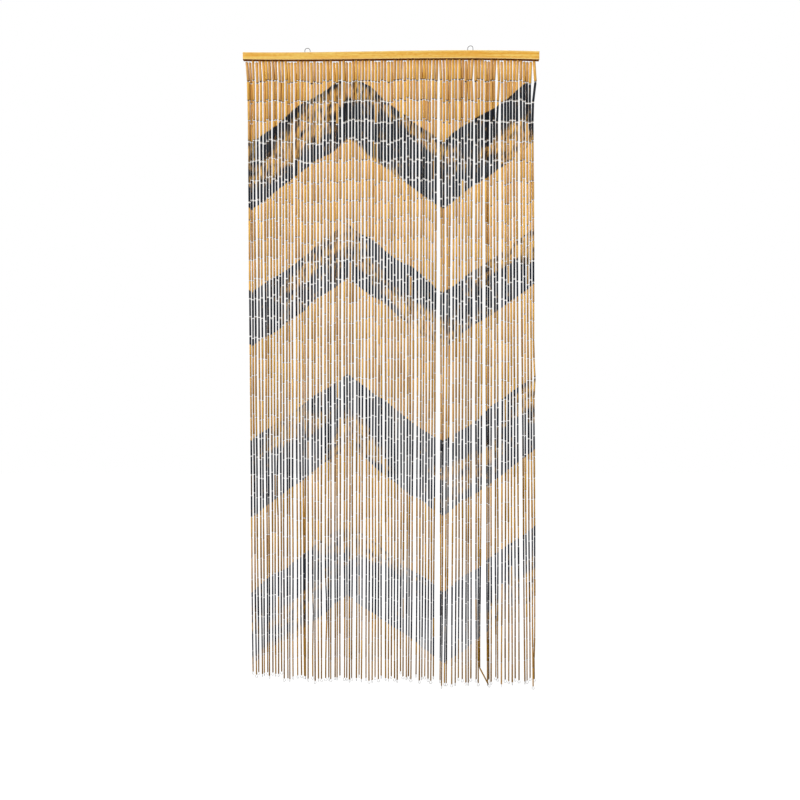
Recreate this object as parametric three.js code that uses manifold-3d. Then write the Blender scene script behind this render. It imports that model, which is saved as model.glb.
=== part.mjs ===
// Bamboo bead door curtain on its wooden hanging bar.
//
// Millimetres. +Z is up and +X is to the right of a person who faces the curtain's front, which
// looks along -Y. The origin is midway between the seats of the two wire loops, where two nails
// carry the curtain, and in the plane of the loops.

import * as THREE from 'three';
import { mergeVertices } from 'three/addons/utils/BufferGeometryUtils.js';
import Module from 'manifold-3d';

const wasm = await Module();
wasm.setup();

// ---- driving dimensions ----

const pieceGap = 0.3;

// A squared batten, a little taller at its middle by taller, and by twice that at its right end.
// Its top edge at the left end is topZ, and its back face is the plane y = backY.
const bar = {
  middleX: 7, length: 927, height: 22.7, taller: 1.85, depth: 22, topZ: -21.9, backY: -1.65,
};

// The batten has warped upright: it climbs to the right, arches, and arches more on the right.
const warp = { climb: 1.5, arch: 2.3, sway: 6, stations: 28 };

// Bent wire loops: an arch, two legs down the bar's back, and a foot on each that turns into a
// drilled hole. The bend's radius is the distance from the loop's plane to the bar's back.
const wire = { diameter: 1.8, archRadius: 8.3, footBelowTop: 10, footLength: 8, sides: 6, steps: 64 };
const foot = { bend: -bar.backY, spareDepth: 0.6, holeSides: 8 };
const loops = [
  { name: 'loop_left', x: -256, seatZ: -3.8, lean: 0 },
  { name: 'loop_right', x: 256, seatZ: 3.8, lean: 1.4 },
];

// The strands hang in one row, from the middle of the bar's underside. Neighbours settle a little
// forward and back by turns, and staggerAtBar is the share of that right under the bar. The curl is
// that of the last wire, below the lowest bead.
const strand = {
  count: 90, spread: 899.5, middleX: 4.3, stagger: 2.6, staggerAtBar: 0.3, settledAt: 0.035, curl: 9.9,
};

// From the bar's underside to the lowest bead's end: longer to the right, with uneven ends.
const hang = { middle: 1938.5, climb: 10.5, droop: 3.5, uneven: 20 };

// The hem also rises and falls in a low wave, whose length is a share of half the bar.
const hemWave = { height: 4, length: 0.95, start: 0.71 };

// Bead thickness down a strand: a slow taper, and stout beads near the bar.
const bead = { hem: 4.25, taper: 2.45, taperPower: 0.65, stout: 2.6, stoutOver: 0.155 };

// Where the curtain parts: after which strand, how much wider the gap is near the bar and at the
// hem, and over how many strands the push dies away. Rows -1 and 89 draw the two edges inwards.
const partings = [
  { after: -1, high: 7, low: 35, reach: 14 },
  { after: 3, high: 2, low: 2.5, reach: 3 },
  { after: 14, high: 0, low: 3.5, reach: 3 },
  { after: 19, high: 0, low: 5, reach: 3 },
  { after: 23, high: 0.5, low: 6.5, reach: 3 },
  { after: 26, high: 1, low: 4, reach: 3 },
  { after: 29, high: 0, low: 5, reach: 3 },
  { after: 33, high: 0.5, low: 6, reach: 3 },
  { after: 36, high: 0, low: 4, reach: 3 },
  { after: 42, high: 0, low: 3, reach: 3 },
  { after: 48, high: 1.5, low: 0, reach: 3 },
  { after: 52, high: 1, low: 6, reach: 3 },
  { after: 59, high: 5.5, low: 13, reach: 3 },
  { after: 63, high: 0, low: 6, reach: 3 },
  { after: 70, high: 3, low: 7, reach: 3 },
  { after: 73, high: 1.2, low: 10, reach: 3 },
  { after: 76, high: 0, low: 7.5, reach: 3 },
  { after: 78, high: 6.5, low: 6, reach: 3 },
  { after: 84, high: 3, low: 8, reach: 3 },
  { after: 89, high: 9, low: -7, reach: 8 },
];

// Where a group of strands has swung aside: its middle strand, over how many strands the swing
// reaches, and how far it has gone at the hem.
const swings = [
  { middle: 2, over: 2.5, aside: 4.5 },
  { middle: 16.5, over: 1.2, aside: 6 },
  { middle: 36, over: 6, aside: -4.5 },
  { middle: 53, over: 6, aside: -7.5 },
  { middle: 63, over: 3, aside: -10 },
  { middle: 79, over: 1.6, aside: -6 },
  { middle: 85, over: 3, aside: 5 },
];

// How unevenly the strands hang: where each settles and the share of that which shows at the bar
// already, where its hem drifts, and a slow sideways bow.
const uneven = { settle: 1.7, atBar: 0.6, drift: 2.4, bow: 0.5 };

// Strands that hang lower than the rest, or end higher, and by how much.
const ownLengths = [
  { strand: 10, longer: -14 },
  { strand: 48, longer: -12 },
  { strand: 53, longer: -14 },
  { strand: 59, longer: -14 },
  { strand: 61, longer: 19 },
  { strand: 64, longer: 8 },
  { strand: 73, longer: 15 },
  { strand: 74, longer: 15 },
  { strand: 79, longer: 22 },
  { strand: 88, longer: 21 },
];

// The last bead of one strand is caught sideways on a neighbour.
const caught = { strand: 73, sideways: 28, over: 0.03 };

// The strip that joins the strands' tops into one comb, and the rows at which a tooth bends.
const heading = { height: 1.6, depth: 6, margin: 4 };
const tooth = { sides: 6, rows: [0, 0.06, 0.3, 0.65, 1 - caught.over, 1] };

const finishes = {
  varnishedWood: { color: 0xebb757, roughness: 0.45, metalness: 0 },
  bamboo: { color: 0xd6ad76, roughness: 0.5, metalness: 0 },
  steelWire: { color: 0x4c4b4e, roughness: 0.35, metalness: 0.9 },
};

// ---- shared helpers ----

// A repeatable number from 0 to 1 for each seed.
function scatter(seed) {
  const value = Math.sin(seed * 12.9898 + 4.1414) * 43758.5453;
  return value - Math.floor(value);
}

// 0 below 0, 1 above 1, and a smooth step between.
function ease(value) {
  const t = Math.min(Math.max(value, 0), 1);
  return t * t * (3 - 2 * t);
}

// -1 at the bar's left end and 1 at its right end.
function alongBar(x) {
  return (x - bar.middleX) / (bar.length / 2);
}

// How far the warped bar stands above its left end, at x.
function barRise(x) {
  const u = alongBar(x);
  return warp.climb * (1 + u) + warp.arch * (1 - u * u) + warp.sway * (u - u ** 3);
}

function barTopZ(x) {
  return bar.topZ + barRise(x);
}

function barUndersideZ(x) {
  return barTopZ(x) - bar.height - bar.taller * (1 + alongBar(x));
}

// A closed mesh as a solid that can be joined and cut.
function solidOf(geometry) {
  const bare = geometry.clone();
  bare.deleteAttribute('normal');
  bare.deleteAttribute('uv');
  const merged = mergeVertices(bare, 1e-4);
  const vertProperties = Float32Array.from(merged.attributes.position.array);
  const triVerts = Uint32Array.from(merged.index.array);
  return new wasm.Manifold(new wasm.Mesh({ numProp: 3, vertProperties, triVerts }));
}

function geometryOf(solid) {
  const mesh = solid.getMesh();
  const geometry = new THREE.BufferGeometry();
  geometry.setAttribute('position', new THREE.BufferAttribute(mesh.vertProperties, 3));
  geometry.setIndex(new THREE.BufferAttribute(mesh.triVerts, 1));
  geometry.computeVertexNormals();
  return geometry;
}

function namedMesh(name, geometry, finish) {
  const mesh = new THREE.Mesh(geometry, new THREE.MeshStandardMaterial(finish));
  mesh.name = name;
  return mesh;
}

// A straight stick, fromX to toX, that follows the bar's warp: its upright outline between two
// heights that depend on x, made depth thick from the plane y = backY towards the front.
function warpedStick(fromX, toX, topOf, undersideOf, depth, backY) {
  const stations = Array.from({ length: warp.stations + 1 }, (_, k) => {
    return fromX + ((toX - fromX) * k) / warp.stations;
  });
  const upper = stations.map((x) => new THREE.Vector2(x, topOf(x)));
  const lower = stations.map((x) => new THREE.Vector2(x, undersideOf(x))).reverse();
  const outline = new THREE.Shape([...lower, ...upper]);
  const stick = new THREE.ExtrudeGeometry(outline, { depth, bevelEnabled: false });
  stick.rotateX(Math.PI / 2);
  stick.translate(0, backY, 0);
  return stick;
}

// ---- hanging bar ----

// One drilled hole in the bar's back for a loop's foot, whose flats are clear of the wire all round.
function footHole(x, z) {
  const radius = (wire.diameter / 2 + pieceGap) / Math.cos(Math.PI / foot.holeSides);
  const depth = wire.footLength + foot.spareDepth;
  const drill = new THREE.CylinderGeometry(radius, radius, depth + 1, foot.holeSides);
  drill.translate(x, bar.backY - depth / 2 + 0.5, z);
  return solidOf(drill);
}

function hangingBar() {
  const half = bar.length / 2;
  const ends = [bar.middleX - half, bar.middleX + half];
  const stick = warpedStick(...ends, barTopZ, barUndersideZ, bar.depth, bar.backY);
  let solid = solidOf(stick);
  for (const { x } of loops) {
    for (const side of [-1, 1]) {
      solid = solid.subtract(footHole(x + side * wire.archRadius, barTopZ(x) - wire.footBelowTop));
    }
  }
  return namedMesh('bar', geometryOf(solid), finishes.varnishedWood);
}

// ---- wire loops ----

// The wire's middle line on one side, from the foot's end up to the arch's top.
function loopSide(side, { x, seatZ, lean }) {
  const radius = wire.archRadius;
  const footZ = barTopZ(x) - wire.footBelowTop;
  const archZ = seatZ + wire.diameter / 2 - radius;
  const legX = x + side * radius;
  const points = [];
  for (const part of [1, 0.66, 0.33]) {
    points.push(new THREE.Vector3(legX, bar.backY - part * wire.footLength, footZ));
  }
  for (const part of [0, 0.25, 0.5, 0.75]) {
    const angle = (part * Math.PI) / 2;
    const y = bar.backY + foot.bend * Math.sin(angle);
    points.push(new THREE.Vector3(legX, y, footZ + foot.bend * (1 - Math.cos(angle))));
  }
  for (const part of [0, 0.25, 0.5, 0.75]) {
    const startZ = footZ + foot.bend;
    points.push(new THREE.Vector3(legX, 0, startZ + part * (archZ - startZ)));
  }
  for (const part of [0, 0.2, 0.4, 0.6, 0.8]) {
    const angle = (part * Math.PI) / 2;
    const height = radius * Math.sin(angle);
    const leaning = lean * (height / radius) ** 2;
    points.push(new THREE.Vector3(x + leaning + side * radius * Math.cos(angle), 0, archZ + height));
  }
  return points;
}

function wireLoop(place) {
  const top = new THREE.Vector3(place.x + place.lean, 0, place.seatZ + wire.diameter / 2);
  const points = [...loopSide(-1, place), top, ...loopSide(1, place).reverse()];
  const section = Array.from({ length: wire.sides }, (_, k) => {
    const angle = (2 * Math.PI * k) / wire.sides;
    return new THREE.Vector2(Math.cos(angle), Math.sin(angle)).multiplyScalar(wire.diameter / 2);
  });
  const bent = new THREE.ExtrudeGeometry(new THREE.Shape(section), {
    steps: wire.steps,
    extrudePath: new THREE.CatmullRomCurve3(points),
    bevelEnabled: false,
  });
  return namedMesh(place.name, bent, finishes.steelWire);
}

// ---- strands, as one comb ----

// s runs down a strand, from 0 at the bar to 1 at its end.
function strandTopX(index) {
  return strand.middleX + strand.spread * (index / (strand.count - 1) - 0.5);
}

function strandLength(index) {
  const u = alongBar(strandTopX(index));
  const longer = ownLengths.find((own) => own.strand === index)?.longer ?? 0;
  const ends = hang.uneven * (scatter(index + 0.37) - 0.5);
  const wave = hemWave.height * Math.sin((2 * Math.PI * (u + hemWave.start)) / hemWave.length);
  return hang.middle + hang.climb * u - hang.droop * u * u + wave + ends + longer;
}

// How far the partings push a settled strand sideways.
function partedBy(index, s) {
  return partings.reduce((total, { after, high, low, reach }) => {
    const away = index - after - 0.5;
    const push = (high * (1 - s) + low * s) / 2;
    return total + Math.sign(away) * push * Math.exp(-(Math.abs(away) - 0.5) / reach);
  }, 0);
}

// How far a strand has swung: a bell curve across the strands that grows with the square of the
// way down.
function swungBy(index, s) {
  return swings.reduce((total, { middle, over, aside }) => {
    return total + s ** 2 * aside * Math.exp(-(((index - middle) / over) ** 2));
  }, 0);
}

function caughtBy(index, s) {
  return index === caught.strand ? caught.sideways * ease((s - 1 + caught.over) / caught.over) : 0;
}

function strandX(index, s) {
  const settled = ease(s / strand.settledAt);
  const own = uneven.settle * (scatter(index * 7.1 + 3) - 0.5);
  const drift = s * uneven.drift * (scatter(index * 5.3 + 9) - 0.5);
  const bows = s * (2 + 2 * scatter(index * 2.9)) + scatter(index * 1.3);
  const bow = uneven.bow * settled * Math.sin(2 * Math.PI * bows);
  const share = uneven.atBar + (1 - uneven.atBar) * settled;
  const moved = settled * partedBy(index, s) + swungBy(index, s) + caughtBy(index, s);
  return strandTopX(index) + moved + share * own + drift + bow;
}

function strandY(index, s) {
  const side = index % 2 === 0 ? -1 : 1;
  const share = strand.staggerAtBar + (1 - strand.staggerAtBar) * ease(s / strand.settledAt);
  return bar.backY - bar.depth / 2 + side * strand.stagger * share;
}

function beadRadius(s) {
  const taper = bead.taper * (1 - s) ** bead.taperPower;
  return (bead.hem + taper + bead.stout * Math.exp(-s / bead.stoutOver)) / 2;
}

// One strand's outer form: a six-sided rod from the heading strip to the curl of its last wire.
function strandTooth(index) {
  const topZ = barUndersideZ(strandTopX(index)) - pieceGap - heading.height / 2;
  const endZ = barUndersideZ(strandTopX(index)) - strandLength(index) - strand.curl;
  const bands = tooth.rows.length - 1;
  const rod = new THREE.CylinderGeometry(1, 1, 1, tooth.sides, bands);
  rod.rotateX(Math.PI / 2);
  const place = rod.attributes.position;
  for (let k = 0; k < place.count; k += 1) {
    const s = tooth.rows[Math.round((0.5 - place.getZ(k)) * bands)];
    const radius = beadRadius(s);
    const x = strandX(index, s) + radius * place.getX(k);
    place.setXYZ(k, x, strandY(index, s) + radius * place.getY(k), topZ + s * (endZ - topZ));
  }
  return solidOf(rod);
}

function strandComb() {
  const reach = strand.spread / 2 + heading.margin;
  const strip = warpedStick(
    strand.middleX - reach,
    strand.middleX + reach,
    (x) => barUndersideZ(x) - pieceGap,
    (x) => barUndersideZ(x) - pieceGap - heading.height,
    heading.depth,
    bar.backY - (bar.depth - heading.depth) / 2,
  );
  let comb = solidOf(strip);
  for (let index = 0; index < strand.count; index += 1) {
    comb = comb.add(strandTooth(index));
  }
  return namedMesh('strand_comb', geometryOf(comb), finishes.bamboo);
}

// ---- the curtain ----

const curtain = new THREE.Group();
curtain.add(hangingBar());
for (const place of loops) {
  curtain.add(wireLoop(place));
}
curtain.add(strandComb());

export default curtain;
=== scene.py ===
import math

import bpy
import numpy as np
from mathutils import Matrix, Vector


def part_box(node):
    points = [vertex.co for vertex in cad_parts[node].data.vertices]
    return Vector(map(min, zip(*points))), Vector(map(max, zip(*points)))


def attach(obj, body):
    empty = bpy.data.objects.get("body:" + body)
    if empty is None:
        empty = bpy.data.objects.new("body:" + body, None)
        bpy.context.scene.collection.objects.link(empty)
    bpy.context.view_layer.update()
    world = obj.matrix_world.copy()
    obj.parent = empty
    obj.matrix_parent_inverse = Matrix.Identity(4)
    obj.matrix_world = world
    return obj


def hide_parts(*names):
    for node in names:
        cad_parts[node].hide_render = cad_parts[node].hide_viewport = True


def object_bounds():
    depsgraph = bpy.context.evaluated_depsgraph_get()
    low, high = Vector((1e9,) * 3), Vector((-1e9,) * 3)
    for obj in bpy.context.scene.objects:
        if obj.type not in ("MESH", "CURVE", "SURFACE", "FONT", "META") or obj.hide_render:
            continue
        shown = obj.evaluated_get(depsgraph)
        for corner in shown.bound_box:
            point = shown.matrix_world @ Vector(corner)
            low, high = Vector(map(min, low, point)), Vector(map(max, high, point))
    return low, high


# A bamboo bead door curtain on its wooden hanging bar, with broad brushed zigzags across the strands.
# Lengths are millimetres until a mesh is made. z is up, and a person who faces the front looks along +y.

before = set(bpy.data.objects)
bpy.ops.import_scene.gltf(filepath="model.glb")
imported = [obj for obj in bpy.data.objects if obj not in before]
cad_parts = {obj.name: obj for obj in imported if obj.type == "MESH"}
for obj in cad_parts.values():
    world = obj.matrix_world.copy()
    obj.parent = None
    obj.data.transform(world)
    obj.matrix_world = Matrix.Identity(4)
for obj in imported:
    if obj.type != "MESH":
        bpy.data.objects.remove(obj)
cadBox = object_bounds()
metre = 0.001  # of a millimetre
print("frame loaded:", ", ".join(sorted(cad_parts)))


# ---- values that a user would change ----

barLow, barHigh = [np.array(corner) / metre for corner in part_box("bar")]

bar = {
    "middleX": (barLow[0] + barHigh[0]) / 2,
    "length": barHigh[0] - barLow[0],
    "depth": barHigh[1] - barLow[1],
    "backY": barHigh[1],
    "height": 22.7,  # at its left end
    "taller": 1.85,  # by this much at its middle, and twice as much at its right end
    "topZ": -21.9,  # of its top edge at the left end
    "climb": 1.5,  # the warp: a climb to the right, an arch, and more of an arch on the right
    "arch": 2.3,
    "sway": 6.0,
    "arris": 0.8,  # how round its long edges are
    "besideArris": (2.4, 0.9),  # where the faces have lines of points beside each arris
    "endRings": [(0.0, 0.5), (0.35, 0.15)],  # how far in from the end face, and how much thinner there
    "fullFrom": 0.8,  # how far in from the end face it has its full section
    "stations": 96,
    "mapRows": 4,
}

loop = {
    "wire": 1.8,
    "radius": 8.3,
    "footBelowTop": 10,
    "footLength": 7.6,
    "points": (4, 7, 8, 25),  # along its foot, its bend, its leg and a quarter of its arch
    "sides": 12,
}
loopPlaces = [  # name, x, height of the seat, lean of the arch
    ("left", -256, -3.8, 0),
    ("right", 256, 3.8, 1.4),
]

strand = {
    "count": 90,
    "rows": 31,  # beads on a strand
    "spread": 899.5,
    "middleX": 4.3,
    "stagger": 2.6,  # neighbours hang alternately this far forward and back
    "staggerAtBar": 0.3,  # the share of it right under the bar
    "settledAt": 0.035,
    "huddle": 1.0,  # how far the strands draw together into groups near the bar
    "huddleOver": 0.25,
    "huddleWave": (1.75, 1.9, 0.83),  # a sine along the strands whose phase sways with a slower sine
    "middle": 1938.5,  # length, from the bar's underside
    "climb": 10.5,  # longer to the right
    "droop": 3.5,
    "hemWave": (4.0, 0.95, 0.71),  # its height, its length as a share of half the bar, and its start
    "uneven": 20,
    "unevenAtBar": 0.6,  # share of the settling and huddling that shows at the bar already
    "settle": 1.7,  # how far each strand stands off its place
    "drift": 2.4,  # how far its lower end stands off as well
    "bow": 0.5,
    "bows": (2, 2),  # the fewest bows of a strand, and how many more there may be
    "firstDrop": 0.8,  # from the bar to the first bead
    "lowDrop": 5.8,  # how much more for the strands that hang low
    "dropUneven": 1.2,
    "hungLow": [
        0, 1, 3, 13, 14, 15, 20, 22, 23, 27, 28, 31, 32,
        40, 41, 44, 45, 49, 68, 74, 75, 79, 86, 87, 88,
    ],
    "caught": 73,  # a strand whose last bead is caught sideways on a neighbour
    "caughtMove": (28, 2.4, 8),  # of its lower end
}

# Strands that hang lower than the rest, or end higher, and by how much.
ownLengths = [
    (10, -14), (48, -12), (53, -14), (59, -14), (61, 19), (64, 8), (73, 15), (74, 15), (79, 22), (88, 21),
]

# Where the curtain parts: after which strand, how much wider the gap is near the bar and at the
# hem, and over how many strands the push dies away. Rows -1 and 89 draw the two edges inwards.
partings = [
    (-1, 7, 35, 14),
    (3, 2, 2.5, 3),
    (14, 0, 3.5, 3),
    (19, 0, 5, 3),
    (23, 0.5, 6.5, 3),
    (26, 1, 4, 3),
    (29, 0, 5, 3),
    (33, 0.5, 6, 3),
    (36, 0, 4, 3),
    (42, 0, 3, 3),
    (48, 1.5, 0, 3),
    (52, 1, 6, 3),
    (59, 5.5, 13, 3),
    (63, 0, 6, 3),
    (70, 3, 7, 3),
    (73, 1.2, 10, 3),
    (76, 0, 7.5, 3),
    (78, 6.5, 6, 3),
    (84, 3, 8, 3),
    (89, 9, -7, 8),
]

# Where a group of strands has swung aside: its middle, how many strands it reaches over, and how
# far they have swung at the hem.
swings = [
    (2, 2.5, 4.5),
    (16.5, 1.2, 6),
    (36, 6, -4.5),
    (53, 6, -7.5),
    (63, 3, -10),
    (79, 1.6, -6),
    (85, 3, 5),
]

# Places where one strand is nudged aside: strand, how far down, over how much, how far.
nudges = [
    (0, 0.0, 0.06, 1.8),
    (0, 0.3, 0.5, -1.2),
    (9, 0.655, 0.03, -2.2),
    (9, 0.715, 0.03, 2.2),
    (20, 0.85, 0.05, 2.2),
    (20, 0.905, 0.05, -2.2),
    (24, 0.84, 0.05, 3.0),
    (24, 0.9, 0.06, -3.0),
    (70, 0.0, 0.028, -5.0),
    (70, 0.034, 0.03, 8.0),
    (70, 0.08, 0.2, -3.0),
    (73, 0.7, 0.25, -4.0),
    (78, 0.0, 0.03, 6.5),
    (78, 0.045, 0.045, -6.5),
    (89, 0.0, 0.03, 9.0),
    (89, 0.035, 0.045, -9.5),
    (89, 0.468, 0.036, 4.2),
    (89, 0.508, 0.036, -4.0),
    (89, 0.925, 0.03, -2.8),
]

bead = {
    "hem": 4.25,  # thickness at the hem
    "taper": 2.45,  # what a slow taper adds at the bar
    "taperPower": 0.65,
    "stout": 2.6,  # what the stout beads next to the bar add
    "stoutOver": 0.155,
    "uneven": 0.2,  # share of the thickness by which beads differ
    "gap": 3.0,  # between two beads' ends near the bar
    "gapCloses": 1.75,  # by this much at the hem
    "lengths": (0.1, 0.12),  # share by which their lengths differ near the bar, and how much more below
    "lengthsOver": 5,  # rows down to which that grows
    "firstLonger": 0.055,
    "chamfer": 0.35,
    "bore": 0.42,  # share of the radius near the bar
    "boreWidens": 0.28,  # by this much at the hem
    "cone": 0.07,
    "oval": 0.05,
    "slant": 0.16,  # of the cut ends
    "room": 0.05,  # kept between neighbours that would run into each other
    "roomPasses": 40,
    "paintTurn": 0.45,  # how far beads have turned since they were painted, in radians
    "turnedRound": 0.06,  # share of them that have turned any way
    "tone": (1.38, 1.15, 0.48),  # lightness at the bar, its loss down to the hem, and its unevenness
    "strandTone": (0.3, 0.9),  # how much of that a whole strand has, and how much more at the hem
    "warmth": (0.4, 0.9),  # its middle and its unevenness
    "sides": 10,
    "strandsInPiece": 6,
}

wire = {
    "diameter": 0.9,
    "eye": 0.88,  # radius of an eye's middle line
    "eyeOpening": 0.6,  # angle by which its loose end stands off
    "eyeSteps": 8,
    "eyeSides": 4,
    "curl": 3.9,  # the same four for the curls at the hem
    "curlOpening": 0.5,
    "curlSteps": 20,
    "curlSides": 6,
    "curlBelow": 1.6,
    "stem": 1.7,  # from an eye's centre to the end of its stem, as a share of its radius
    "stemIntoBar": 5,
}

# ---- shared helpers ----


def scatter(seed):
    # a repeatable number from 0 to 1 for each seed: the fraction left of a large multiple of a sine
    value = np.sin(np.asarray(seed, float) * 12.9898 + 4.1414) * 43758.5453
    return value - np.floor(value)


def ease(value):
    # 0 below 0, 1 above 1, and 3t^2 - 2t^3 between
    t = np.clip(value, 0, 1)
    return t * t * (3 - 2 * t)


def unit(vectors):
    return vectors / np.linalg.norm(vectors, axis=-1, keepdims=True)


def towardsFront(axis):
    # the direction square to each axis that comes nearest to the front
    return unit(np.array([0.0, -1.0, 0.0]) - axis * -axis[..., 1:2])


def gridFaces(copies, rows, columns, closedRows=False):
    # the faces of many like grids that close on themselves across their columns, and for each face
    # corner its row and column, counted on past the last one where the grid closes
    usedRows = rows if closedRows else rows - 1
    row, column = np.meshgrid(np.arange(usedRows), np.arange(columns), indexing="ij")
    cornerRow = np.stack([row, row + 1, row + 1, row], -1).reshape(-1, 4)
    cornerColumn = np.stack([column, column, column + 1, column + 1], -1).reshape(-1, 4)
    corner = (cornerRow % rows) * columns + cornerColumn % columns
    first = np.arange(copies)[:, None, None] * rows * columns
    faces = (first + corner).reshape(-1, 4)
    return faces, np.tile(cornerRow, (copies, 1)), np.tile(cornerColumn, (copies, 1))


def makeMesh(name, points, faceGroups, mapGroups, smoothGroups, material):
    # one closed mesh from points in millimetres and groups of faces that have equally many corners
    mesh = bpy.data.meshes.new(name)
    points = np.asarray(points).reshape(-1, 3) * metre
    corners = np.concatenate([group.ravel() for group in faceGroups])
    counts = np.concatenate([np.full(len(group), group.shape[1]) for group in faceGroups])
    mesh.vertices.add(len(points))
    mesh.loops.add(len(corners))
    mesh.polygons.add(len(counts))
    mesh.vertices.foreach_set("co", points.astype(np.float32).ravel())
    mesh.loops.foreach_set("vertex_index", corners.astype(np.int32))
    mesh.polygons.foreach_set("loop_start", (np.cumsum(counts) - counts).astype(np.int32))
    mesh.update(calc_edges=True)
    smooth = np.concatenate(smoothGroups)
    mesh.polygons.foreach_set("use_smooth", smooth)
    # the map that a finish is baked through has a cell of its own for every bead and wire
    layer = mesh.uv_layers.new(name="OFBake")
    places = np.concatenate([group.reshape(-1, 2) for group in mapGroups])
    layer.uv.foreach_set("vector", places.astype(np.float32).ravel())
    mesh.materials.append(material)
    piece = bpy.data.objects.new(name, mesh)
    bpy.context.scene.collection.objects.link(piece)
    return piece


def setValues(piece, name, kind, domain, values):
    field = piece.data.attributes.new(name, kind, domain)
    part = "vector" if kind == "FLOAT_VECTOR" else "value"
    field.data.foreach_set(part, values.astype(np.float32).ravel())


def tubes(paths, acrosses, radius, sides):
    # a round tube along each path: at each of its points a circle, square to the path, whose first
    # direction is square to both the path and the given across direction
    along = unit(np.gradient(paths, axis=1))
    first = unit(np.cross(acrosses, along))
    second = np.cross(along, first)
    angle = 2 * math.pi * np.arange(sides) / sides
    ring = first[:, :, None] * np.cos(angle)[:, None] + second[:, :, None] * np.sin(angle)[:, None]
    return paths[:, :, None] + radius * ring


def cellMap(cell, across, up, u, v):
    # places u and v, each from 0 to 1, inside numbered cells of a square map, with a margin
    margin = 0.04
    column, row = cell % across, cell // across
    return np.stack([
        (column + margin + (1 - 2 * margin) * u) / across,
        (row + margin + (1 - 2 * margin) * v) / up,
    ], -1)


# ---- where everything hangs ----


def barRise(x):
    # how far the warped bar stands above its left end: a climb, a parabola, and a cubic
    u = (x - bar["middleX"]) / (bar["length"] / 2)
    return bar["climb"] * (1 + u) + bar["arch"] * (1 - u**2) + bar["sway"] * (u - u**3)


def barTopZ(x):
    return bar["topZ"] + barRise(x)


def undersideZ(x):
    u = (x - bar["middleX"]) / (bar["length"] / 2)
    return barTopZ(x) - bar["height"] - bar["taller"] * (1 + u)


def strandTopX(index):
    return strand["middleX"] + strand["spread"] * (index / (strand["count"] - 1) - 0.5)


def strandLength(index):
    u = (strandTopX(index) - bar["middleX"]) / (bar["length"] / 2)
    longer = sum(np.where(index == which, by, 0) for which, by in ownLengths)
    ends = strand["uneven"] * (scatter(index + 0.37) - 0.5)
    height, across, start = strand["hemWave"]
    wave = height * np.sin(2 * math.pi * (u + start) / across)
    return strand["middle"] + strand["climb"] * u - strand["droop"] * u**2 + wave + ends + longer


def partedBy(index, s):
    # each parting pushes the strands on its two sides apart, less and less with their distance
    total = 0
    for after, high, low, reach in partings:
        away = index - after - 0.5
        push = (high * (1 - s) + low * s) / 2
        total = total + np.sign(away) * push * np.exp(-(np.abs(away) - 0.5) / reach)
    return total


def swungBy(index, s):
    # each swing is a bell curve across the strands that grows with the square of the way down
    return s**2 * sum(aside * np.exp(-(((index - middle) / over) ** 2)) for middle, over, aside in swings)


def nudgedBy(index, s):
    total = 0
    for which, start, over, sideways in nudges:
        total = total + np.where(index == which, sideways * ease((s - start) / over), 0)
    return total


def strandX(index, s):
    # s runs from 0 at the bar to 1 at the strand's end
    settled = ease(s / strand["settledAt"])
    own = strand["settle"] * (scatter(index * 7.1 + 3) - 0.5)
    drift = s * strand["drift"] * (scatter(index * 5.3 + 9) - 0.5)
    pace, sway, slowPace = strand["huddleWave"]
    huddle = np.sin(pace * index + sway * np.sin(slowPace * index)) * np.exp(-s / strand["huddleOver"])
    fewest, more = strand["bows"]
    bows = s * (fewest + more * scatter(index * 2.9)) + scatter(index * 1.3)
    bow = strand["bow"] * settled * np.sin(2 * math.pi * bows)
    moved = settled * partedBy(index, s) + swungBy(index, s) + drift + bow + nudgedBy(index, s)
    share = strand["unevenAtBar"] + (1 - strand["unevenAtBar"]) * settled
    return strandTopX(index) + moved + share * (own + strand["huddle"] * huddle)


def strandY(index, s):
    side = np.where(index % 2 == 0, -1, 1)
    share = strand["staggerAtBar"] + (1 - strand["staggerAtBar"]) * ease(s / strand["settledAt"])
    return bar["backY"] - bar["depth"] / 2 + side * strand["stagger"] * share


def beadGap(s):
    return bead["gap"] - bead["gapCloses"] * s


def beadSeeds():
    # a number of its own for every bead, as strand x row
    return np.arange(strand["count"])[:, None] * 37.1 + np.arange(strand["rows"])[None, :] * 5.7


def beadRadius(down):
    # every bead's radius: a power of the way that is left to the hem, an exponential that dies away
    # below the bar, and a share of chance
    s = (down[:, :-1] + down[:, 1:]) / 2
    taper = bead["taper"] * (1 - s) ** bead["taperPower"]
    stout = bead["stout"] * np.exp(-s / bead["stoutOver"])
    return (bead["hem"] + taper + stout) / 2 * (1 + bead["uneven"] * (scatter(beadSeeds() + 0.1) - 0.5))


def makeRoom(joints, radius):
    # neighbours whose beads would run into each other push one another aside by half the overlap,
    # again and again until all of them have room
    radius = radius * (1 + bead["oval"] + bead["cone"] / 2) + bead["room"]
    around = np.pad(radius, ((0, 0), (1, 1)), mode="edge")
    around = np.maximum(around[:, :-1], around[:, 1:])
    reach = around[:-1] + around[1:]
    for _ in range(bead["roomPasses"]):
        apart, depth = np.diff(joints[..., 0], axis=0), np.diff(joints[..., 1], axis=0)
        needed = np.sqrt(np.maximum(reach**2 - depth**2, 0))
        push = np.maximum(needed - apart, 0) / 2
        joints[:-1, :, 0] -= push
        joints[1:, :, 0] += push


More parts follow.
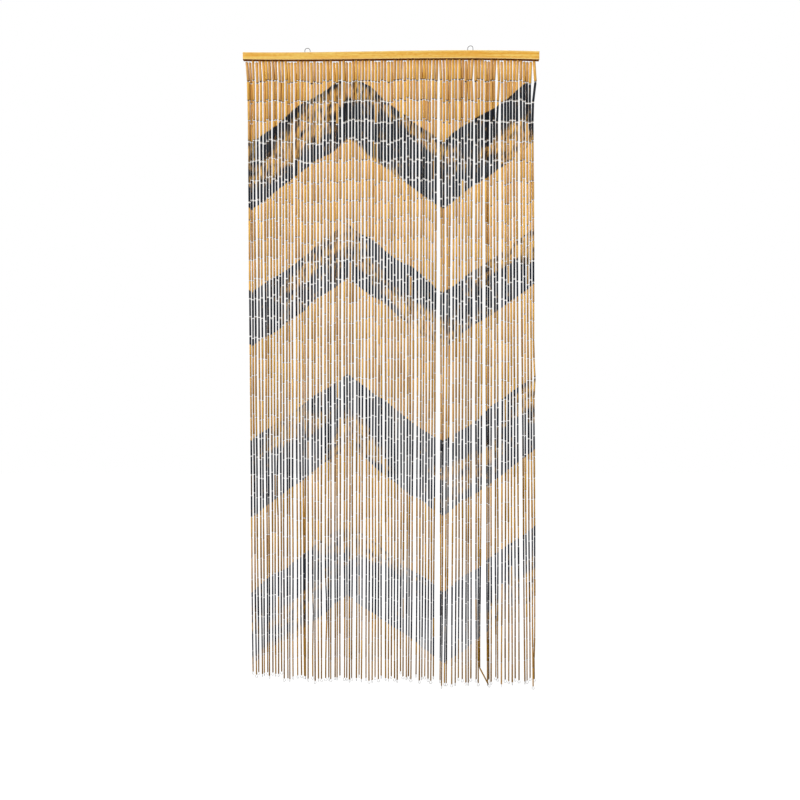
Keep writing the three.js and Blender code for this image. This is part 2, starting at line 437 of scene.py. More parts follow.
def hangStrands():
    # the joints between the beads of every strand, as strand x joint x place, with how far down they are
    index = np.arange(strand["count"])[:, None]
    row = np.arange(strand["rows"])[None, :]
    near, more = bead["lengths"]
    differ = near + more * ease(row / bead["lengthsOver"])
    shares = 1 + differ * (scatter(index * 3.7 + row * 1.9) - 0.5)
    shares = shares + bead["firstLonger"] * (row == 0)
    shares = np.concatenate([np.zeros((len(index), 1)), np.cumsum(shares, 1)], 1)
    drop = strand["firstDrop"] + strand["dropUneven"] * scatter(index * 2.1)
    drop = drop + strand["lowDrop"] * np.isin(index, strand["hungLow"])
    length = strandLength(index)
    first, last = drop - beadGap(0) / 2, length + beadGap(1) / 2
    below = first + (last - first) * shares / shares[:, -1:]
    s = below / length
    z = undersideZ(strandTopX(index)) - below
    joints = np.stack([strandX(index, s), strandY(index, s), z], -1)
    radius = beadRadius(s)
    makeRoom(joints, radius)
    joints[strand["caught"], -1] += strand["caughtMove"]
    return joints, s, radius


# ---- finishes ----


def seen(red, green, blue):
    # a colour as it looks on a screen, made linear
    shares = np.array([red, green, blue]) / 255
    linear = np.where(shares <= 0.04045, shares / 12.92, ((shares + 0.055) / 1.055) ** 2.4)
    return (*linear.tolist(), 1)


def addNode(tree, kind, sockets=None, **settings):
    made = tree.nodes.new("ShaderNode" + kind)
    for name, value in settings.items():
        setattr(made, name, value)
    for name, value in (sockets or {}).items():
        if isinstance(value, bpy.types.NodeSocket):
            tree.links.new(value, made.inputs[name])
        else:
            made.inputs[name].default_value = value
    return made


def calc(tree, operation, *values):
    return addNode(tree, "Math", dict(enumerate(values)), operation=operation).outputs[0]


def step(tree, value, low, high, toLow=0.0, toHigh=1.0):
    sockets = {"Value": value, "From Min": low, "From Max": high, "To Min": toLow, "To Max": toHigh}
    return addNode(tree, "MapRange", sockets, interpolation_type="SMOOTHSTEP").outputs[0]


def mix(tree, amount, one, other, blend="MIX"):
    made = addNode(tree, "Mix", data_type="RGBA", blend_type=blend)
    for place, value in ((0, amount), (6, one), (7, other)):
        if isinstance(value, bpy.types.NodeSocket):
            tree.links.new(value, made.inputs[place])
        else:
            made.inputs[place].default_value = value
    return made.outputs[2]


def noise(tree, vector, detail=2.0, roughness=0.5, distortion=0.0):
    sockets = {"Vector": vector, "Scale": 1.0, "Detail": detail, "Roughness": roughness}
    return addNode(tree, "TexNoise", {**sockets, "Distortion": distortion}).outputs[0]


def stretched(tree, vector, x, y, z):
    return addNode(tree, "VectorMath", {0: vector, 1: (x, y, z)}, operation="MULTIPLY").outputs[0]


def newMaterial(name, **constants):
    material = bpy.data.materials.new(name)
    material.use_nodes = True
    tree = material.node_tree
    shader = tree.nodes["Principled BSDF"]
    for socket, value in constants.items():
        shader.inputs[socket.replace("_", " ")].default_value = value
    return material, tree, shader


def addBump(tree, shader, height, strength, distance):
    bump = addNode(tree, "Bump", {"Height": height, "Strength": strength, "Distance": distance})
    tree.links.new(bump.outputs[0], shader.inputs["Normal"])


# The zigzag, in metres: rows of one zigzag line repeated down the curtain.
zigzag = {
    "halfWave": 0.3,
    "slope": 0.72,
    "shift": 0.13,
    "top": -0.085,
    "pitch": 0.47,
    "rows": 4,
    "width": 0.165,
    "widthMore": 0.075,
    "wobble": 0.05,  # how far the whole stroke wanders
    "ragged": 0.006,
    "softEdge": 0.0015,
}

bambooTones = {
    "golden": seen(236, 181, 80),
    "tawny": seen(206, 152, 94),
    "deep": seen(130, 91, 12),
    "paleFibre": seen(244, 202, 120),
    "paleFibreOnDeep": seen(185, 141, 38),
    "darkFibre": seen(136, 91, 28),
    "cloud": seen(164, 111, 48),
    # painted shade: the bead tops right under the bar
    "shadeUnderBar": seen(190, 128, 52),
    "towardsEnds": seen(118, 74, 36),
    "cutEnd": seen(128, 88, 50),
    "chipped": seen(240, 234, 222),
    "charcoal": seen(19, 22, 29),
    "wornCharcoal": seen(42, 48, 57),
}

woodTones = {
    "darkBand": seen(233, 170, 64),
    "paleBand": seen(246, 207, 106),
    "darkLine": seen(222, 145, 48),
    "paleLine": seen(250, 218, 134),
    "darkFleck": seen(216, 142, 50),
    "paleFleck": seen(250, 220, 140),
    "cloud": seen(230, 158, 62),
    "pore": seen(156, 88, 22),
    # paler arrises: partly wear, partly a painted highlight
    "paleWearAndHighlight": seen(255, 228, 160),
    # painted shade: the underside's darker brown
    "underside": seen(166, 98, 28),
}

wireTones = {"bright": seen(76, 75, 78), "dull": seen(50, 49, 52)}


def brushedPaint(tree, own):
    # how much paint covers each spot, from 0 to 1: the zigzag rows are bands of height below the
    # zigzag line, and a stretched noise along the stroke leaves them dry in places
    place = addNode(tree, "TexCoord").outputs["Object"]
    x, y, z = addNode(tree, "SeparateXYZ", {0: place}).outputs
    wobble = noise(tree, stretched(tree, place, 7, 0, 7), 2.0)
    wave = calc(tree, "PINGPONG", calc(tree, "ADD", x, zigzag["shift"] + 3), zigzag["halfWave"])
    line = calc(tree, "MULTIPLY_ADD", wave, -zigzag["slope"], zigzag["top"])
    under = calc(tree, "SUBTRACT", line, z)
    under = calc(tree, "MULTIPLY_ADD", calc(tree, "SUBTRACT", wobble, 0.5), zigzag["wobble"], under)
    rows = calc(tree, "DIVIDE", under, zigzag["pitch"])
    row = calc(tree, "FLOOR", rows)
    inRow = calc(tree, "MULTIPLY", calc(tree, "FRACT", rows), zigzag["pitch"])
    chance = addNode(tree, "TexWhiteNoise", {"W": row}, noise_dimensions="1D").outputs["Value"]
    width = calc(tree, "MULTIPLY_ADD", chance, zigzag["widthMore"], zigzag["width"])
    ragged = noise(tree, stretched(tree, own, 260, 260, 90), 1.0)
    edge = calc(tree, "MINIMUM", inRow, calc(tree, "SUBTRACT", width, inRow))
    edge = calc(tree, "MULTIPLY_ADD", calc(tree, "SUBTRACT", ragged, 0.5), zigzag["ragged"], edge)
    band = step(tree, edge, 0.0, zigzag["softEdge"])
    band = calc(tree, "MULTIPLY", band, calc(tree, "GREATER_THAN", rows, 0.0))
    band = calc(tree, "MULTIPLY", band, calc(tree, "LESS_THAN", rows, float(zigzag["rows"])))
    # dry brush: blotches along each bead, streaks that follow the stroke, and large patches where
    # the brush was full or had run out
    stroke = addNode(tree, "CombineXYZ", {0: x, 1: row, 2: inRow}).outputs[0]
    streaks = noise(tree, stretched(tree, stroke, 9, 5.3, 40), 2.0, 0.6)
    patches = noise(tree, stretched(tree, stroke, 3.4, 7.9, 6), 1.5)
    blotches = noise(tree, stretched(tree, own, 170, 170, 36), 1.5, 0.5)
    cover = calc(tree, "MULTIPLY_ADD", streaks, 0.55, calc(tree, "MULTIPLY", blotches, 0.9))
    cover = calc(tree, "ADD", cover, step(tree, patches, 0.37, 0.53, 0.0, 0.34))
    cover = step(tree, cover, 0.6, 0.96)
    return calc(tree, "MULTIPLY", band, cover)


def bambooFinish():
    # natural bamboo: fibres run along each bead, every bead has its own tone, and its cut ends are
    # darker;
    # the tops next to the bar are darkened with painted shade from the bar; paint is chipped off the rims
    # of its ends, less and less towards the hem
    material, tree, shader = newMaterial("bamboo", Specular_IOR_Level=0.12)
    tones = bambooTones
    place = addNode(tree, "TexCoord").outputs["Object"]
    beadTone = addNode(tree, "Attribute", attribute_name="beadTone").outputs["Vector"]
    tone, warmth, seed = addNode(tree, "SeparateXYZ", {0: beadTone}).outputs
    side = addNode(tree, "Attribute", attribute_name="paintSide").outputs["Fac"]
    along = addNode(tree, "Attribute", attribute_name="along").outputs["Fac"]
    cut = addNode(tree, "Attribute", attribute_name="cutEnd").outputs["Fac"]
    apart = addNode(tree, "CombineXYZ", {2: calc(tree, "MULTIPLY", seed, 9.0)}).outputs[0]
    own = addNode(tree, "VectorMath", {0: place, 1: apart}, operation="ADD").outputs[0]

    fibres = noise(tree, stretched(tree, own, 900, 900, 13), 3.0, 0.6)
    fine = noise(tree, stretched(tree, own, 3200, 3200, 60), 2.0)
    clouds = noise(tree, stretched(tree, own, 160, 160, 28), 2.0)
    colour = mix(tree, warmth, tones["golden"], tones["tawny"])
    colour = mix(tree, tone, tones["deep"], colour)
    pale = mix(tree, tone, tones["paleFibreOnDeep"], tones["paleFibre"])
    colour = mix(tree, step(tree, fibres, 0.46, 0.74, 0.0, 0.8), colour, pale)
    colour = mix(tree, step(tree, fibres, 0.5, 0.24, 0.0, 0.6), colour, tones["darkFibre"])
    colour = mix(tree, step(tree, clouds, 0.56, 0.75, 0.0, 0.4), colour, tones["cloud"])
    height = addNode(tree, "SeparateXYZ", {0: place}).outputs["Z"]
    # painted shade: bead tops just under the bar are darkened as if in the bar's shadow
    colour = mix(tree, step(tree, height, -0.066, -0.046, 0.0, 0.5), colour, tones["shadeUnderBar"])
    ends = calc(tree, "MINIMUM", along, calc(tree, "SUBTRACT", 1.0, along))
    ends = calc(tree, "MULTIPLY_ADD", calc(tree, "SUBTRACT", clouds, 0.5), 0.03, ends)
    colour = mix(tree, step(tree, ends, 0.03, 0.0, 0.0, 0.6), colour, tones["towardsEnds"])
    colour = mix(tree, calc(tree, "MULTIPLY", cut, 0.8), colour, tones["cutEnd"])

    facing = calc(tree, "MULTIPLY_ADD", calc(tree, "SUBTRACT", fibres, 0.5), 0.5, side)
    facing = step(tree, facing, -0.28, 0.02)
    paint = calc(tree, "MULTIPLY", brushedPaint(tree, own), facing)
    paint = calc(tree, "MULTIPLY", paint, calc(tree, "SUBTRACT", 1.0, calc(tree, "MULTIPLY", cut, 0.85)))
    rim = step(tree, height, -2.1, 0.1, 0.001, 0.023)
    chipped = calc(tree, "MULTIPLY", paint, step(tree, ends, rim, calc(tree, "MULTIPLY", rim, 0.5)))
    paint = calc(tree, "SUBTRACT", paint, chipped)
    colour = mix(tree, chipped, colour, tones["chipped"])
    charcoal = mix(tree, step(tree, fibres, 0.4, 0.7), tones["charcoal"], tones["wornCharcoal"])
    colour = mix(tree, paint, colour, charcoal)
    tree.links.new(colour, shader.inputs["Base Color"])
    rough = step(tree, fine, 0.3, 0.7, 0.36, 0.5)
    rough = calc(tree, "MULTIPLY_ADD", paint, 0.14, rough)
    tree.links.new(rough, shader.inputs["Roughness"])
    addBump(tree, shader, calc(tree, "ADD", fibres, calc(tree, "MULTIPLY", fine, 0.4)), 0.35, 0.0004)
    return material


def varnishedWoodFinish():
    # golden varnished wood: straight grain along the bar, fine pores, paler arrises that are partly wear
    # and partly a painted highlight, and an underside whose darker brown is painted shade
    material, tree, shader = newMaterial("varnishedWood", Specular_IOR_Level=0.12)
    tones = woodTones
    place = addNode(tree, "TexCoord").outputs["Object"]
    edge = addNode(tree, "Attribute", attribute_name="arris").outputs["Fac"]
    under = addNode(tree, "Attribute", attribute_name="under").outputs["Fac"]
    bands = noise(tree, stretched(tree, place, 3.2, 190, 190), 3.0, 0.6, 0.4)
    lines = noise(tree, stretched(tree, place, 9, 700, 700), 3.0, 0.65)
    pores = noise(tree, stretched(tree, place, 60, 2400, 2400), 1.0)
    clouds = noise(tree, stretched(tree, place, 9, 30, 30), 2.0)
    flecks = noise(tree, stretched(tree, place, 64, 250, 250), 2.0, 0.6)
    colour = mix(tree, step(tree, bands, 0.36, 0.64), tones["darkBand"], tones["paleBand"])
    colour = mix(tree, step(tree, lines, 0.5, 0.3, 0.0, 0.5), colour, tones["darkLine"])
    colour = mix(tree, step(tree, lines, 0.56, 0.74, 0.0, 0.6), colour, tones["paleLine"])
    colour = mix(tree, step(tree, flecks, 0.5, 0.3, 0.0, 0.45), colour, tones["darkFleck"])
    colour = mix(tree, step(tree, flecks, 0.55, 0.72, 0.0, 0.45), colour, tones["paleFleck"])
    colour = mix(tree, step(tree, clouds, 0.5, 0.75, 0.0, 0.45), colour, tones["cloud"])
    colour = mix(tree, step(tree, pores, 0.66, 0.72, 0.0, 0.4), colour, tones["pore"])
    # painted highlight: the arrises are paler, partly as wear and partly as light caught on the edges
    colour = mix(tree, calc(tree, "MULTIPLY", edge, 0.6), colour, tones["paleWearAndHighlight"])
    # painted shade: the rough, unvarnished underside is coloured darker brown as if in the bar's shadow
    colour = mix(tree, under, colour, tones["underside"])
    tree.links.new(colour, shader.inputs["Base Color"])
    rough = calc(tree, "MAXIMUM", step(tree, lines, 0.3, 0.7, 0.34, 0.48), under)
    tree.links.new(rough, shader.inputs["Roughness"])
    addBump(tree, shader, lines, 0.25, 0.0004)
    return material


def steelWireFinish():
    # plain drawn wire with duller patches
    material, tree, shader = newMaterial("steelWire", Metallic=1.0)
    place = addNode(tree, "TexCoord").outputs["Object"]
    patches = noise(tree, stretched(tree, place, 300, 300, 90), 2.0)
    colour = mix(tree, step(tree, patches, 0.35, 0.7), wireTones["bright"], wireTones["dull"])
    tree.links.new(colour, shader.inputs["Base Color"])
    tree.links.new(step(tree, patches, 0.3, 0.7, 0.24, 0.4), shader.inputs["Roughness"])
    return material


# ---- hanging bar ----


def hangingBar(material):
    # a rounded rectangle carried along the warped bar, drawn in a little at both ends
    half = np.array([bar["depth"], bar["height"]]) / 2
    radius = bar["arris"]
    bend = np.linspace(0, math.pi / 2, 4)
    corners = [(1, 1, 0), (-1, 1, 1), (-1, -1, 2), (1, -1, 3)]
    wide, narrow = bar["besideArris"]
    section, arrisWearAndHighlight = [], []
    for sideY, sideZ, quarter in corners:
        centre = (half - radius) * (sideY, sideZ)
        angle = bend + quarter * math.pi / 2
        arc = centre + radius * np.stack([np.cos(angle), np.sin(angle)], -1)
        into = np.array([[-math.sin(angle[0]), math.cos(angle[0])]])
        out = np.array([[-math.sin(angle[-1]), math.cos(angle[-1])]])
        section += [arc[:1] - wide * into, arc[:1] - narrow * into, arc]
        section += [arc[-1:] + narrow * out, arc[-1:] + wide * out]
        # how pale each point's arris is: partly wear, partly a painted highlight
        arrisWearAndHighlight += [0, 0.8, 1, 1, 1, 1, 0.8, 0]
    section = np.concatenate(section)
    arrisWearAndHighlight = np.array(arrisWearAndHighlight, float)
    columns = len(section)

    within, drawnIn = np.array(bar["endRings"]).T
    full = bar["length"] / 2 - bar["fullFrom"]
    ends = bar["length"] / 2 - within
    x = np.concatenate([-ends, np.linspace(-full, full, bar["stations"]), ends[::-1]]) + bar["middleX"]
    drawn = np.concatenate([drawnIn, np.zeros(bar["stations"]), drawnIn[::-1]])
    shape = section[None] * (1 - drawn[:, None, None] / half)
    stretch = (barTopZ(x) - undersideZ(x)) / bar["height"]
    points = np.stack([
        np.broadcast_to(x[:, None], shape.shape[:2]),
        bar["backY"] - half[0] + shape[:, :, 0],
        ((barTopZ(x) + undersideZ(x)) / 2)[:, None] + shape[:, :, 1] * stretch[:, None],
    ], -1)
    rows = len(x)
    faces, cornerRow, cornerColumn = gridFaces(1, rows, columns)
    walk = np.concatenate([[0], np.cumsum(np.linalg.norm(np.roll(section, -1, 0) - section, axis=1))])
    u = (x - x[0]) / (x[-1] - x[0]) * bar["mapRows"]
    mapRow = np.minimum(np.floor((u[cornerRow].mean(1, keepdims=True))), bar["mapRows"] - 1)
    around = walk[cornerColumn] / walk[-1]
    upTo = 0.9 * (mapRow + 0.04 + 0.92 * around) / bar["mapRows"]
    sideMap = np.stack([0.02 + 0.96 * (u[cornerRow] - mapRow) / 1.1 + 0.02, upTo], -1)
    loopOrder = np.arange(columns)
    leftEnd, rightEnd = loopOrder[None], (rows - 1) * columns + loopOrder[::-1][None]
    flat = section / half * 0.5 + 0.5
    endMaps = [
        (np.array([0.02, 0.92]) + 0.07 * flat)[None],
        (np.array([0.12, 0.92]) + 0.07 * flat[::-1])[None],
    ]
    piece = makeMesh(
        "hanging_bar", points, [faces, leftEnd, rightEnd], [sideMap, *endMaps],
        [np.ones(len(faces), bool), np.zeros(1, bool), np.zeros(1, bool)], material,
    )
    # the drawn-in ends get the same pale arris, partly wear and partly a painted highlight
    endWearAndHighlight = np.where(drawn > 0, 0.8, 0.0)[:, None]
    setValues(piece, "arris", "FLOAT", "POINT", np.maximum(arrisWearAndHighlight[None], endWearAndHighlight))
    # the underside, which is rough and coloured darker brown as painted shade
    under = np.broadcast_to(section[:, 1] < -half[1] + 0.4, (rows, columns))
    setValues(piece, "under", "FLOAT", "POINT", under)
    return piece


# ---- wire loops ----


def wireLoop(name, x, seatZ, lean, material):
    # half a loop is a foot in the bar's back, a quarter bend, a straight leg and a quarter of the
    # arch, which leans with the square of its height; the other half is its mirror image
    radius, bend = loop["radius"], -bar["backY"]
    inFoot, inBend, inLeg, inArch = loop["points"]
    footZ = barTopZ(x) - loop["footBelowTop"]
    archZ = seatZ + loop["wire"] / 2 - radius
    turn = np.linspace(0, math.pi / 2, inBend)
    rise = np.linspace(0, math.pi / 2, inArch)
    out = np.concatenate([np.full(inFoot + inBend + inLeg, radius), radius * np.cos(rise)])
    y = np.concatenate([
        np.linspace(bar["backY"] - loop["footLength"], bar["backY"], inFoot + 1)[:-1],
        bar["backY"] + bend * np.sin(turn),
        np.zeros(inLeg + inArch),
    ])
    z = np.concatenate([
        np.full(inFoot, footZ),
        footZ + bend * (1 - np.cos(turn)),
        np.linspace(footZ + bend, archZ, inLeg + 2)[1:-1],
        archZ + radius * np.sin(rise),
    ])
    leaning = lean * np.clip((z - archZ) / radius, 0, 1) ** 2
    left = np.stack([x + leaning - out, y, z], -1)
    right = np.stack([x + leaning + out, y, z], -1)[-2::-1]
    path = np.concatenate([left, right])[None]
    sides = loop["sides"]
    across = np.broadcast_to(unit(np.array([1.0, 1.0, 0.0])), path.shape)
    rings = tubes(path, across, loop["wire"] / 2, sides)
    rows = rings.shape[1]
    faces, cornerRow, cornerColumn = gridFaces(1, rows, sides)
    u = cornerRow / rows * 4
    row = np.floor(u.mean(1, keepdims=True))
    sideMap = np.stack([0.02 + 0.9 * (u - row), (row + 0.1 + 0.8 * cornerColumn / sides) / 4.5], -1)
    order = np.arange(sides)
    caps = [order[None], (rows - 1) * sides + order[::-1][None]]
    angle = 2 * math.pi * order / sides
    disc = 0.04 * np.stack([np.cos(angle), np.sin(angle)], -1)
    capMaps = [(disc + (0.1, 0.94))[None], (disc + (0.3, 0.94))[None]]
    return makeMesh(
        "wire_loop_" + name, rings, [faces, *caps], [sideMap, *capMaps],
        [np.ones(len(faces), bool), np.zeros(1, bool), np.zeros(1, bool)], material,
    )


# ---- beads ----


def beadPieces(joints, down, radius, material):
    # a bead is a thick-walled tube: a cut end, a chamfer, the wall, a chamfer, the other cut end, and
    # back through the bore
    count, rows, sides = strand["count"], strand["rows"], bead["sides"]
    index = np.arange(count)[:, None]
    number = beadSeeds()
    top, bottom = joints[:, :-1], joints[:, 1:]
    axis = unit(bottom - top)
    s = (down[:, :-1] + down[:, 1:]) / 2
    gap = beadGap(s)
    length = np.linalg.norm(bottom - top, axis=-1) - gap
    cone = bead["cone"] * (scatter(number + 0.2) - 0.5)
    front = towardsFront(axis)
    aside = np.cross(axis, front)

    angle = 2 * math.pi * np.arange(sides) / sides
    ovalTurn = 2 * math.pi * scatter(number + 0.3)
    slantTurn = 2 * math.pi * scatter(number + 0.4)
    slant = bead["slant"] * scatter(number + 0.5)
    chamfer, bore = bead["chamfer"], bead["bore"] + bead["boreWidens"] * s
    oval = 1 + bead["oval"] * np.cos(2 * (angle - ovalTurn[..., None]))
    tilt = slant[..., None] * radius[..., None] * np.cos(angle - slantTurn[..., None])
    profile = [  # share of the radius, how much less, which end, how far in from it, and the cone there
        (bore, 0, 0, 0, 1),
        (1, chamfer, 0, 0, 1),
        (1, 0, 0, chamfer, 1),
        (1, 0, 1, -chamfer, -1),
        (1, chamfer, 1, 0, -1),
        (bore, 0, 1, 0, -1),
    ]
    rings = []
    for share, less, end, within, coneSide in profile:
        ringRadius = (radius * share * (1 + coneSide * cone))[..., None] * oval - less
        far = (gap / 2 + length * end + within)[..., None] + tilt * (1 if end else -1)
        radial = (
            front[:, :, None] * np.cos(angle)[:, None] + aside[:, :, None] * np.sin(angle)[:, None]
        ) * ringRadius[..., None]
        rings.append(top[:, :, None] + axis[:, :, None] * far[..., None] + radial)
    points = np.stack(rings, 2)  # strand, bead, ring, side, place

    # the painted side of each bead: three chances added up turn most of them a little and few far
    chances = scatter(number + 0.6) + scatter(number + 0.7) + scatter(number + 0.8) - 1.5
    anyWay = scatter(number + 0.9) > 1 - bead["turnedRound"]
    paintTurn = bead["paintTurn"] * chances + np.where(anyWay, math.pi * scatter(number + 1.1), 0)
    side = np.cos(angle - paintTurn[..., None])
    side[:, 0] = -1  # the beads next to the bar are left bare
    side = np.broadcast_to(side[:, :, None], points.shape[:-1])
    along = np.broadcast_to(np.array([0, 0, 0.005, 0.995, 1, 1])[:, None], points.shape[:-1])
    share, gain = bead["strandTone"]
    ownTone = scatter(number + 1.2) + (share + gain * s) * (scatter(index * 1.7) - 0.5)
    light, loss, toneUneven = bead["tone"]
    tone = np.clip(light - loss * s - toneUneven * ownTone, 0, 1)
    middle, warmthUneven = bead["warmth"]
    warmth = np.clip(middle + warmthUneven * (scatter(number + 1.3) - 0.5), 0, 1)
    beadTone = np.stack([tone, warmth, scatter(number + 1.4)], -1)
    beadTone = np.broadcast_to(beadTone[:, :, None, None], (*points.shape[:-1], 3))

    pieces = []
    many = bead["strandsInPiece"]
    faces, cornerRow, cornerColumn = gridFaces(many * rows, len(profile), sides, closedRows=True)
    faceBand = cornerRow[:, 0]
    cell = np.repeat(np.arange(many * rows), len(profile) * sides)[:, None]
    stops = np.array([0.05, 0.09, 0.1, 0.9, 0.91, 0.95, 1.0])
    u = np.where(faceBand[:, None] == 5, np.where(cornerRow == 5, 0.955, 1.0), stops[cornerRow % 7])
    places = cellMap((cell % rows) * many + cell // rows, many, rows, u, cornerColumn / sides)
    smooth = np.isin(faceBand, [2, 5])
    cutEnd = np.isin(faceBand, [0, 4, 5]).astype(float)
    for first in range(0, count, many):
        chosen = slice(first, first + many)
        name = f"beads_{first + 1:02d}_{first + many:02d}"
        piece = makeMesh(name, points[chosen], [faces], [places], [smooth], material)
        setValues(piece, "paintSide", "FLOAT", "POINT", side[chosen])
        setValues(piece, "along", "FLOAT", "POINT", along[chosen])
        setValues(piece, "beadTone", "FLOAT_VECTOR", "POINT", beadTone[chosen])
        setValues(piece, "cutEnd", "FLOAT", "FACE", cutEnd)
        pieces.append(piece)
    return pieces


# ---- wires ----


def eyePoints(centre, towards, aside, kind):
    # an eye or a curl from its loose end to its stem: a circle in the plane of towards and aside, and
    # a last point on the stem; towards points to what the stem is fixed in
    radius = wire[kind]
    angle = np.linspace(2 * math.pi - wire[kind + "Opening"], math.pi / 4, wire[kind + "Steps"])
    out = radius * np.sin(angle)[:, None]
    up = radius * np.cos(angle)[:, None]
    circle = centre[:, None] + out * aside[:, None] + up * towards[:, None]
    stem = centre[:, None] + wire["stem"] * radius * towards[:, None]
    return np.concatenate([circle, stem], 1)


def eyePlanes(axis, turn):
    # two directions square to the axis: one in the eye's plane, and one across it
    front = towardsFront(axis)
    other = np.cross(axis, front)
    inPlane = front * np.cos(turn)[:, None] + other * np.sin(turn)[:, None]
    return inPlane, np.cross(axis, inPlane)


def wireBatch(paths, acrosses, sides):
    rings = tubes(paths, acrosses, wire["diameter"] / 2, sides)
    copies, rows = rings.shape[:2]
    faces, cornerRow, cornerColumn = gridFaces(copies, rows, sides)
    order = np.arange(sides)
    starts = np.arange(copies)[:, None] * rows * sides
    caps = np.concatenate([starts + order, starts + (rows - 1) * sides + order[::-1]])
    return {
        "points": rings.reshape(-1, 3),
        "faces": faces,
        "caps": caps,
        "copies": copies,
        "u": cornerRow / (rows - 1),
        "v": cornerColumn / sides,
        "cell": np.repeat(np.arange(copies), (rows - 1) * sides),
    }


def wirePiece(name, batches, material):
    # joins batches of wires into one mesh; each wire has its own cell of the map
    total = sum(batch["copies"] for batch in batches)
    across = math.ceil(math.sqrt(total / 3))
    up = math.ceil(total / across)
    pointCount = cellCount = 0
    points, faceGroups, mapGroups, smoothGroups = [], [], [], []
    for batch in batches:
        cells = (cellCount + batch["cell"])[:, None]
        sides = batch["caps"].shape[1]
        corner = 2 * math.pi * np.arange(sides) / sides
        capCells = np.tile(cellCount + np.arange(batch["copies"]), 2)[:, None]
        capEnd = np.repeat([0.02, 0.98], batch["copies"])[:, None]
        capU = capEnd + 0.015 * np.cos(corner)[None]
        capV = 0.5 + 0.3 * np.sin(corner)[None] + 0 * capU
        points.append(batch["points"])
        faceGroups += [batch["faces"] + pointCount, batch["caps"] + pointCount]
        mapGroups += [
            cellMap(cells, across, up, 0.05 + 0.9 * batch["u"], batch["v"]),
            cellMap(capCells, across, up, capU, capV),
        ]
        smoothGroups += [np.ones(len(batch["faces"]), bool), np.zeros(len(batch["caps"]), bool)]
        pointCount += len(batch["points"])
        cellCount += batch["copies"]
    return makeMesh(name, np.concatenate(points), faceGroups, mapGroups, smoothGroups, material)


def beadWires(joints, chosen, lastRow):
    # the wire through each bead of one part of the curtain, with an eye at both ends, or a curl at the
    # lower end of the last bead; two eyes that hold each other stand in planes at right angles
    index = np.arange(strand["count"])[:, None]
    joint = np.arange(strand["rows"] + 1)[None, :]
    turns = math.pi * scatter(index * 6.1 + joint * 2.3)
    rows = np.arange(strand["rows"])
    rows = rows[-1:] if lastRow else rows[:-1]
    top = joints[chosen][:, rows].reshape(-1, 3)
    bottom = joints[chosen][:, rows + 1].reshape(-1, 3)
    topTurn = turns[chosen][:, rows].ravel() + math.pi / 2
    bottomTurn = turns[chosen][:, rows + 1].ravel()
    axis = unit(bottom - top)
    topIn, topAcross = eyePlanes(axis, topTurn)
    bottomIn, bottomAcross = eyePlanes(axis, bottomTurn)
    apart = wire["eye"] - wire["diameter"] / 2
    upper = eyePoints(top + apart * axis, axis, topIn, "eye")
    if lastRow:
        beadEnd = bottom - axis * beadGap(1) / 2
        centre = beadEnd + axis * (wire["curlBelow"] + wire["curl"])
        lower = eyePoints(centre, -axis, bottomIn, "curl")
        sides = wire["curlSides"]
    else:
        lower = eyePoints(bottom - apart * axis, -axis, bottomIn, "eye")
        sides = wire["eyeSides"]
    paths = np.concatenate([upper, lower[:, ::-1]], 1)
    acrosses = np.concatenate([
        np.broadcast_to(topAcross[:, None], upper.shape),
        np.broadcast_to(bottomAcross[:, None], lower.shape),
    ], 1)
    return wireBatch(paths, acrosses, sides)


def barEyes(joints, chosen):
    # the eye under the bar that carries each strand, its stem driven up into the wood
    index = np.arange(strand["count"])[chosen]
    turn = math.pi * scatter(index * 6.1)
    centre = joints[chosen][:, 0] + np.array([0, 0, wire["eye"] - wire["diameter"] / 2])
    up = np.broadcast_to(np.array([0.0, 0.0, 1.0]), centre.shape)
    inPlane, across = eyePlanes(-up, turn)
    eye = eyePoints(centre, up, inPlane, "eye")
    stem = joints[chosen][:, 0].copy()
    stem[:, 2] = undersideZ(stem[:, 0]) + wire["stemIntoBar"]
    paths = np.concatenate([eye, stem[:, None]], 1)
    return wireBatch(paths, np.broadcast_to(across[:, None], paths.shape), wire["eyeSides"])


# ---- camera, light and floor ----

viewpoint = {
    "from": (0.0349, -3.6127, -1.109),
    "lens": 51.7,
    "sensor": 36,
}

studio = {
    "floorBelow": 0.1,
    "floorReach": 12,
    "floorTone": 0.35,  # its own grey, on which the soft shadow falls
    "floorGlow": 0.82,  # added to it for the camera and in reflections
    "ambient": 0.35,  # how strongly the white surroundings light the curtain
}
studioLights = [  # name, where it shines from, strength, how soft in degrees
    ("key", (-0.8, -1.0, 0.5), 2.45, 16),
    ("fill", (0.8, -1.0, 0.1), 0.35, 40),
    ("back", (0.0, 1.0, 0.35), 1.4, 30),
]


def makeCamera():
    camera = bpy.data.objects.new("camera", bpy.data.cameras.new("camera"))
    camera.location = viewpoint["from"]
    camera.rotation_euler = (math.pi / 2, 0, 0)
    camera.data.lens = viewpoint["lens"]
    camera.data.sensor_width = viewpoint["sensor"]
    bpy.context.scene.collection.objects.link(camera)
    bpy.context.scene.camera = camera


def softLight(name, comesFrom, strength, spread):
    light = bpy.data.lights.new(name, "SUN")
    light.energy = strength
    light.angle = math.radians(spread)
    lamp = bpy.data.objects.new(name, light)
    lamp.location = comesFrom
    lamp.rotation_euler = Vector(comesFrom).to_track_quat("Z", "Y").to_euler()
    bpy.context.scene.collection.objects.link(lamp)


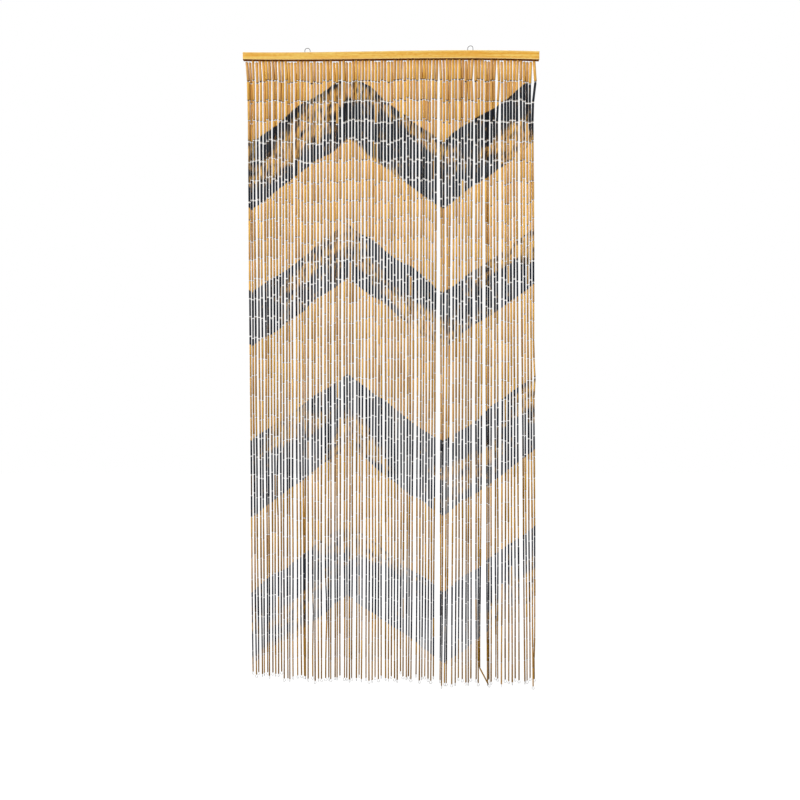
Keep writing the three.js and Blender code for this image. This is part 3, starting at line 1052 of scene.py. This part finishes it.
def makeStage():
    z = cadBox[0].z - studio["floorBelow"]
    reach = studio["floorReach"]
    corners = [(-reach, -reach, z), (reach, -reach, z), (reach, reach, z), (-reach, reach, z)]
    mesh = bpy.data.meshes.new("floor")
    mesh.from_pydata(corners, [], [(0, 1, 2, 3)])
    floor = bpy.data.objects.new("floor", mesh)
    bpy.context.scene.collection.objects.link(floor)

    # the floor is white to the camera and in reflections, and keeps the curtain's soft shadow
    material, tree, shader = newMaterial("paleFloor", Roughness=0.9, Specular_IOR_Level=0.0)
    path = addNode(tree, "LightPath").outputs
    direct = calc(tree, "MAXIMUM", path["Is Camera Ray"], path["Is Glossy Ray"])
    glow = calc(tree, "MULTIPLY", direct, studio["floorGlow"])
    shader.inputs["Base Color"].default_value = (*[studio["floorTone"]] * 3, 1)
    shader.inputs["Emission Color"].default_value = (1, 1, 1, 1)
    tree.links.new(glow, shader.inputs["Emission Strength"])
    floor.data.materials.append(material)

    world = bpy.data.worlds.new("studio")
    bpy.context.scene.world = world
    world.use_nodes = True
    tree = world.node_tree
    background = tree.nodes["Background"]
    path = addNode(tree, "LightPath").outputs
    direct = calc(tree, "MAXIMUM", path["Is Camera Ray"], path["Is Glossy Ray"])
    direct = calc(tree, "MAXIMUM", direct, path["Is Transmission Ray"])
    strength = calc(tree, "MULTIPLY_ADD", direct, 1 - studio["ambient"], studio["ambient"])
    tree.links.new(strength, background.inputs["Strength"])
    background.inputs["Color"].default_value = (1, 1, 1, 1)

    for name, comesFrom, strength, spread in studioLights:
        softLight(name, comesFrom, strength, spread)
    bpy.context.scene.view_settings.view_transform = "Standard"


# ---- the curtain ----

makeCamera()
makeStage()
print("camera, light and floor ready")

bamboo = bambooFinish()
varnishedWood = varnishedWoodFinish()
steelWire = steelWireFinish()

barPiece = hangingBar(varnishedWood)
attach(barPiece, "root")
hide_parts("bar")
print("hanging bar made")

for name, x, seatZ, lean in loopPlaces:
    piece = wireLoop(name, x, seatZ, lean, steelWire)
    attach(piece, "root")
    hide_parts("loop_" + name)
print("wire loops made")

joints, down, radius = hangStrands()
for piece in beadPieces(joints, down, radius, bamboo):
    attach(piece, "root")
    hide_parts("strand_comb")
print("beads made:", strand["count"] * strand["rows"])

third = strand["count"] // 3
for number, name in enumerate(("left", "middle", "right")):
    chosen = slice(number * third, (number + 1) * third)
    batches = [
        beadWires(joints, chosen, False),
        beadWires(joints, chosen, True),
        barEyes(joints, chosen),
    ]
    piece = wirePiece("wires_" + name, batches, steelWire)
    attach(piece, "root")
    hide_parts("strand_comb")
print("wires made")
